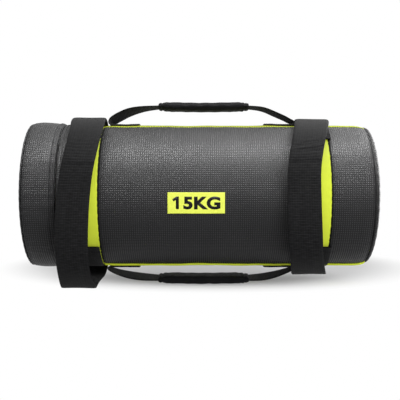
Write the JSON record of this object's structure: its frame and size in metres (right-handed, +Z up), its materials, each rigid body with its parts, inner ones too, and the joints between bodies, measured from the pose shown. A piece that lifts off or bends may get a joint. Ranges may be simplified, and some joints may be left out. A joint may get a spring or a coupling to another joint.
{
  "type": "sandbag trainer",
  "caption": "Filled cylindrical training bag with padded grips above and below, webbing carrying loops and a zipped end cap.",
  "frame": {"origin": "on the floor under the middle of the part's box, as it lies on its lower grip and left loop", "axes": "+X along the bag from the zipped cap to the plain end, -Y towards the front with the label, +Z up"},
  "size_m": [0.494, 0.2215, 0.262],
  "materials": {
    "embossed_pvc": "black PVC-coated cloth with a fine embossed square grain",
    "lime_pvc": "plain lime PVC-coated cloth, satin",
    "printed_plate": "lime screen print, satin",
    "black_webbing": "woven polypropylene webbing",
    "grip_cloth": "black nylon grip cover",
    "zip_tape": "black woven zip tape and nylon chain",
    "zip_metal": "black painted zinc",
    "padding": "grey closed-cell foam",
    "liner_cloth": "plain woven liner",
    "filling": "dry sand",
    "tie_nylon": "natural nylon tie"
  },
  "bodies": {
    "bag": {"front_panel": "embossed_pvc", "back_panel": "embossed_pvc", "front_end_panel": "embossed_pvc", "back_end_panel": "embossed_pvc", "top_stripe": "lime_pvc", "bottom_stripe": "lime_pvc", "top_end_stripe": "lime_pvc", "bottom_end_stripe": "lime_pvc", "left_band": "lime_pvc", "right_band": "lime_pvc", "left_sleeve": "embossed_pvc", "weight_label": "printed_plate", "zip_tape_bag": "zip_tape", "right_disc": "embossed_pvc", "right_piping": "embossed_pvc", "right_foam": "padding", "foam_sleeve": "padding", "liner": "liner_cloth", "liner_tie": "tie_nylon", "sand_fill": "filling", "left_base_webbing": "black_webbing", "right_base_webbing": "black_webbing", "top_handle_left_tab": "black_webbing", "top_handle_right_tab": "black_webbing", "bottom_handle_left_tab": "black_webbing", "bottom_handle_right_tab": "black_webbing"},
    "end_cap": {"cap_sleeve": "embossed_pvc", "cap_disc": "embossed_pvc", "cap_piping": "embossed_pvc", "cap_foam": "padding", "zip_tape_cap": "zip_tape"},
    "slider": {"zip_slider": "zip_metal"},
    "pull_tab": {"zip_pull": "zip_metal"},
    "top_grip": {"top_handle_webbing": "black_webbing", "top_handle_foam": "padding", "top_handle_cover": "grip_cloth"},
    "bottom_grip": {"bottom_handle_webbing": "black_webbing", "bottom_handle_foam": "padding", "bottom_handle_cover": "grip_cloth"},
    "left_strap": {"left_loop": "black_webbing"},
    "right_strap": {"right_loop": "black_webbing"}
  },
  "joints": [
    {"name": "top_grip_swing", "type": "hinge", "parent": "bag", "child": "top_grip", "pos_m": [0, 0.0071, 0.2435], "axis": [1, 0, 0], "range_deg": [-45, 45]},
    {"name": "bottom_grip_swing", "type": "hinge", "parent": "bag", "child": "bottom_grip", "pos_m": [0, 0.0071, 0.0185], "axis": [1, 0, 0], "range_deg": [-45, 45]},
    {"name": "left_strap_sway", "type": "hinge", "parent": "bag", "child": "left_strap", "pos_m": [-0.1605, 0.0715, 0.131], "axis": [0, 0, 1], "range_deg": [-4, 7]},
    {"name": "right_strap_sway", "type": "hinge", "parent": "bag", "child": "right_strap", "pos_m": [0.1605, 0.0715, 0.131], "axis": [0, 0, 1], "range_deg": [-1, 7]},
    {"name": "end_cap_swing", "type": "hinge", "parent": "bag", "child": "end_cap", "pos_m": [-0.1915, 0.1114, 0.131], "axis": [0, 0, -1], "range_deg": [0, 90]},
    {"name": "slider_run", "type": "hinge", "parent": "bag", "child": "slider", "pos_m": [-0.1915, 0.0071, 0.131], "axis": [-1, 0, 0], "range_deg": [0, 330]},
    {"name": "pull_tab_swing", "type": "hinge", "parent": "slider", "child": "pull_tab", "pos_m": [-0.1915, 0.10791, 0.10586], "axis": [1, 0, 0], "range_deg": [-20, 110]}
  ]
}
